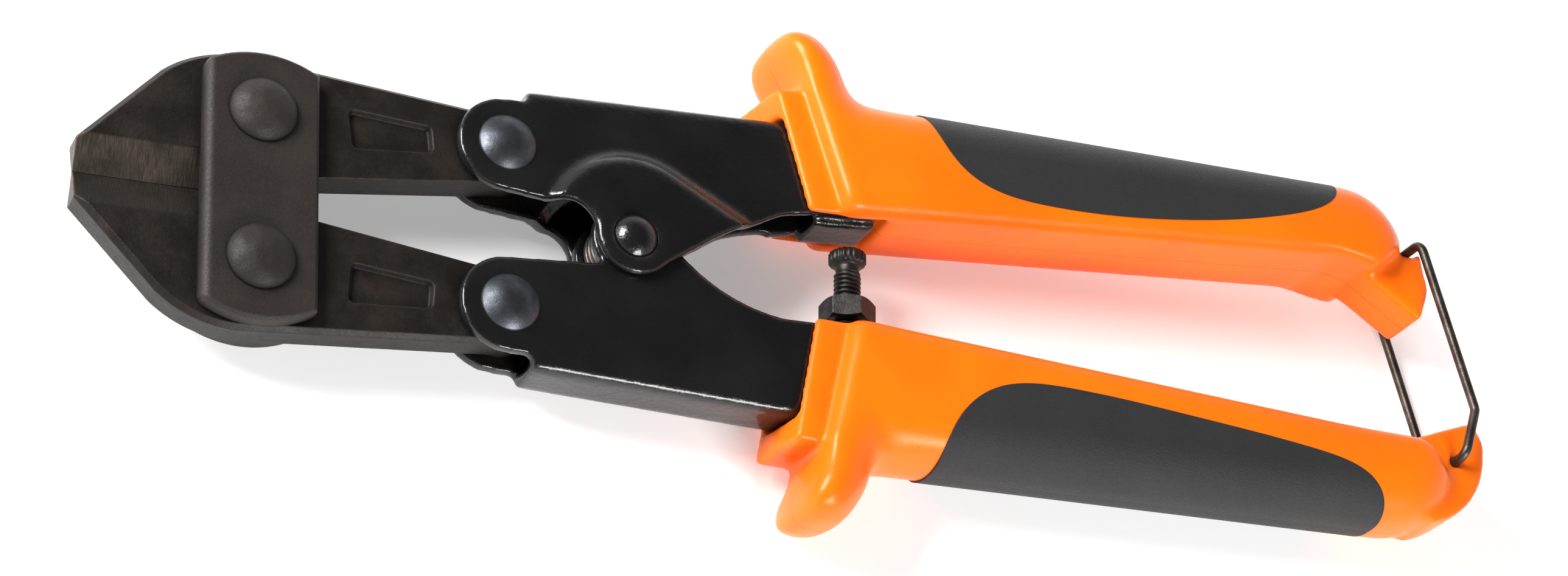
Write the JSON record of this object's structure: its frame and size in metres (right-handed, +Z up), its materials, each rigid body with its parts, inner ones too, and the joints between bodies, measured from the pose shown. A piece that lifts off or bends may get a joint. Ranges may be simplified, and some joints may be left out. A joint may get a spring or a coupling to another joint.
{
  "type": "bolt cutters",
  "caption": "Compact hand bolt cutters with compound jaws, pressed steel frames, soft-inlaid grips, an adjustable stop and a wire latch, closed and lying flat.",
  "frame": {"origin": "under the middle of the tool's length, on the surface it lies on, midway between the two grips", "axes": "+X runs from the jaws to the grip ends, +Y to the upper grip, +Z up out of the surface"},
  "size_m": [0.2138, 0.0768, 0.0164],
  "materials": {
    "forged_steel": "dark forged and tempered steel, satin, light grinding marks on the cutting bevels",
    "strap_steel": "blackened rolled plate, matte",
    "frame_paint": "gloss black paint with fine orange peel",
    "rivet_steel": "blackened steel, low sheen",
    "oxide_steel": "black oxide",
    "wire_steel": "dark drawn spring wire",
    "grip_shell": "orange moulded plastic, semi-gloss",
    "grip_rubber": "dark grey soft rubber, fine grain"
  },
  "bodies": {
    "lower_handle": {"lower_frame": "frame_paint", "lower_grip": "grip_shell", "lower_grip_inlay": "grip_rubber", "lower_jaw_rivet": "rivet_steel", "pivot_bush": "oxide_steel", "opening_spring": "wire_steel"},
    "upper_handle": {"upper_frame": "frame_paint", "upper_grip": "grip_shell", "upper_grip_inlay": "grip_rubber", "upper_jaw_rivet": "rivet_steel", "centre_rivet": "frame_paint"},
    "lower_jaw_body": {"lower_jaw": "forged_steel"},
    "straps": {"front_strap": "strap_steel", "rear_strap": "strap_steel", "upper_strap_rivet": "strap_steel", "lower_strap_rivet": "strap_steel"},
    "upper_jaw_body": {"upper_jaw": "forged_steel"},
    "latch": {"latch_wire": "wire_steel"},
    "screw": {"stop_screw": "oxide_steel"},
    "lock_nut": {"stop_lock_nut": "oxide_steel"}
  },
  "joints": [
    {"name": "handle_hinge", "type": "hinge", "parent": "lower_handle", "child": "upper_handle", "pos_m": [-0.0309, 0, 0.0082], "axis": [0, 0, 1], "range_deg": [0, 26], "deforming": ["opening_spring"]},
    {"name": "lower_jaw_hinge", "type": "hinge", "parent": "lower_handle", "child": "lower_jaw_body", "pos_m": [-0.0488, -0.012, 0.0082], "axis": [0, 0, 1], "range_deg": [0, 20.3]},
    {"name": "strap_hinge", "type": "hinge", "parent": "lower_jaw_body", "child": "straps", "pos_m": [-0.0831, -0.0107, 0.0082], "axis": [0, 0, 1], "range_deg": [-7.3, 0]},
    {"name": "upper_jaw_hinge", "type": "hinge", "parent": "straps", "child": "upper_jaw_body", "pos_m": [-0.0831, 0.0107, 0.0082], "axis": [0, 0, 1], "range_deg": [-7.3, 0]},
    {"name": "latch_swing", "type": "hinge", "parent": "lower_handle", "child": "latch", "pos_m": [0.1009, -0.0169, 0.0082], "axis": [0, 0, 1], "range_deg": [-105, 0]},
    {"name": "stop_screw_travel", "type": "slide", "parent": "lower_handle", "child": "screw", "axis": [0.0698, 0.9976, 0], "range_m": [-0.002, 0.0026]},
    {"name": "lock_nut_travel", "type": "slide", "parent": "lower_handle", "child": "lock_nut", "axis": [0.0698, 0.9976, 0], "range_m": [-0.0017, 0.0015]}
  ],
  "couplings": [
    {"joint": "lower_jaw_hinge", "follows": "handle_hinge", "ratio": 0.7756},
    {"joint": "strap_hinge", "follows": "handle_hinge", "ratio": -0.2756},
    {"joint": "upper_jaw_hinge", "follows": "handle_hinge", "ratio": -0.2756},
    {"joint": "latch_swing", "follows": "handle_hinge", "ratio": -4}
  ]
}
